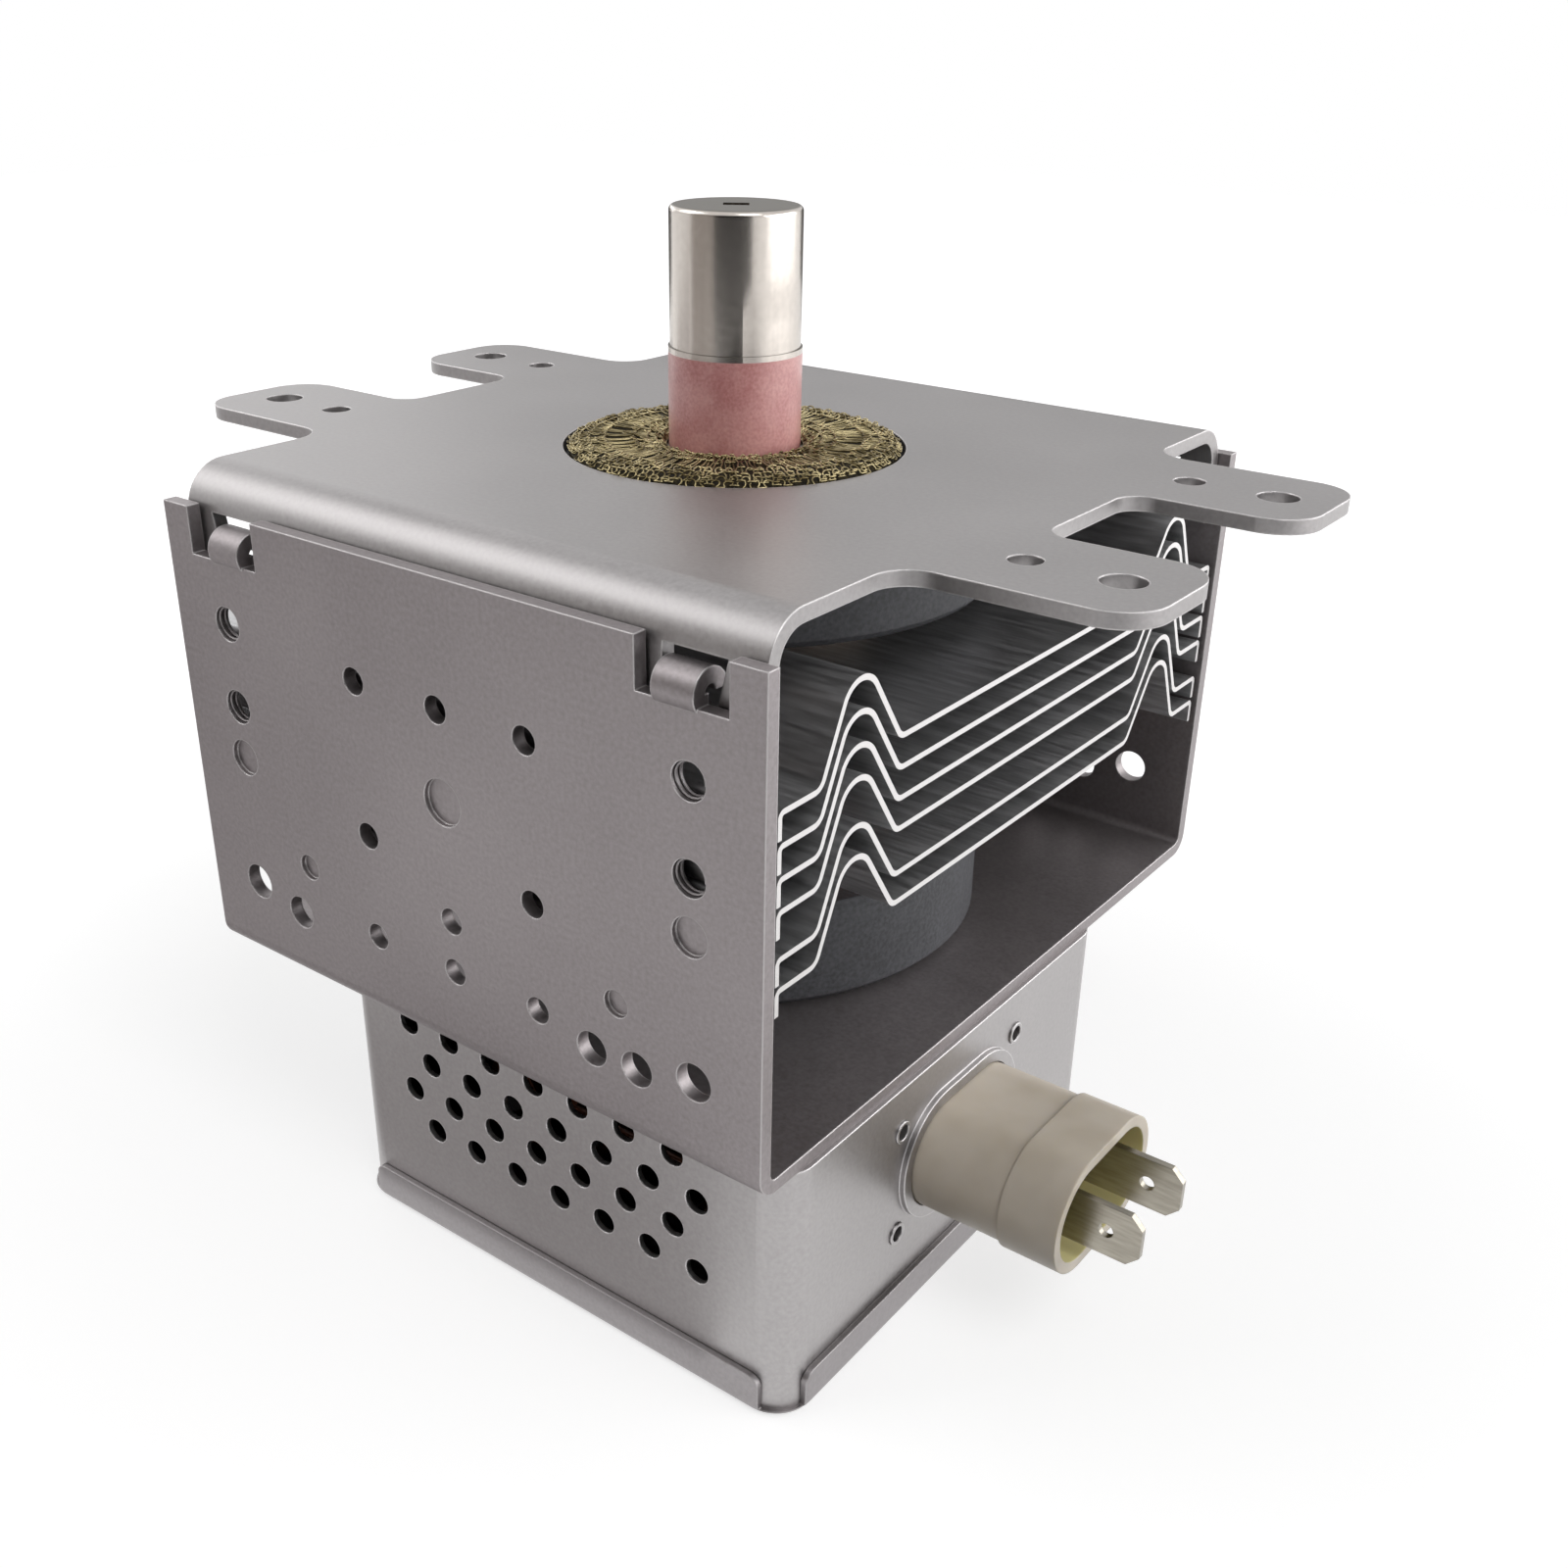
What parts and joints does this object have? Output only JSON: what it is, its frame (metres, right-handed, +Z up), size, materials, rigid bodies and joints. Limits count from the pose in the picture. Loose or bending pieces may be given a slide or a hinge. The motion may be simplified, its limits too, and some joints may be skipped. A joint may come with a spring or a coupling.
{
  "type": "magnetron",
  "caption": "Microwave magnetron: folded steel yoke with ring magnets and corrugated cooling fins round the anode, capped antenna, knitted gasket, perforated filter box, connector.",
  "frame": {"origin": "on the antenna's axis, at the upper face of the top plate", "axes": "+Z up along the antenna, +X along the cooling air towards the connector, so that the two closed walls of the yoke face -Y and +Y"},
  "size_m": [0.1294, 0.096, 0.115],
  "materials": {
    "zinc_plated_steel": "zinc-plated, satin",
    "magnet_ferrite": "sintered, matt",
    "fin_aluminium": "rolled sheet, satin",
    "anode_copper": "bare copper",
    "pole_iron": "plated iron",
    "sealing_steel": "nickel-plated",
    "pink_alumina": "fired, matt",
    "cap_stainless": "drawn stainless, satin",
    "gasket_brass": "knitted wire",
    "cathode_metal": "tungsten and molybdenum",
    "terminal_metal": "tin-plated",
    "choke_wire": "enamelled copper",
    "choke_ferrite": "sintered, matt",
    "capacitor_resin": "cast resin",
    "connector_plastic": "moulded, ivory"
  },
  "bodies": {
    "root": {"yoke_top_plate": "zinc_plated_steel", "yoke_frame": "zinc_plated_steel", "filter_box": "zinc_plated_steel", "box_lid": "zinc_plated_steel", "capacitor_holder": "zinc_plated_steel", "upper_magnet": "magnet_ferrite", "lower_magnet": "magnet_ferrite", "fin_1": "fin_aluminium", "fin_2": "fin_aluminium", "fin_3": "fin_aluminium", "fin_4": "fin_aluminium", "fin_5": "fin_aluminium", "fin_6": "fin_aluminium", "anode_cylinder": "anode_copper", "anode_vanes": "anode_copper", "strap_rings_upper": "anode_copper", "strap_rings_lower": "anode_copper", "exhaust_tube": "anode_copper", "antenna_lead": "anode_copper", "upper_pole_piece": "pole_iron", "lower_pole_piece": "pole_iron", "output_cup": "sealing_steel", "stem_cup": "sealing_steel", "output_ceramic": "pink_alumina", "stem_ceramic": "pink_alumina", "antenna_cap": "cap_stainless", "rf_gasket": "gasket_brass", "filament": "cathode_metal", "upper_end_hat": "cathode_metal", "lower_end_hat": "cathode_metal", "centre_lead": "cathode_metal", "side_lead": "cathode_metal", "stem_terminals": "terminal_metal", "terminal_1": "terminal_metal", "terminal_2": "terminal_metal", "choke_coil_1": "choke_wire", "choke_coil_2": "choke_wire", "ferrite_core_1": "choke_ferrite", "ferrite_core_2": "choke_ferrite", "capacitor_body": "capacitor_resin", "connector_shell": "connector_plastic"}
  },
  "joints": []
}
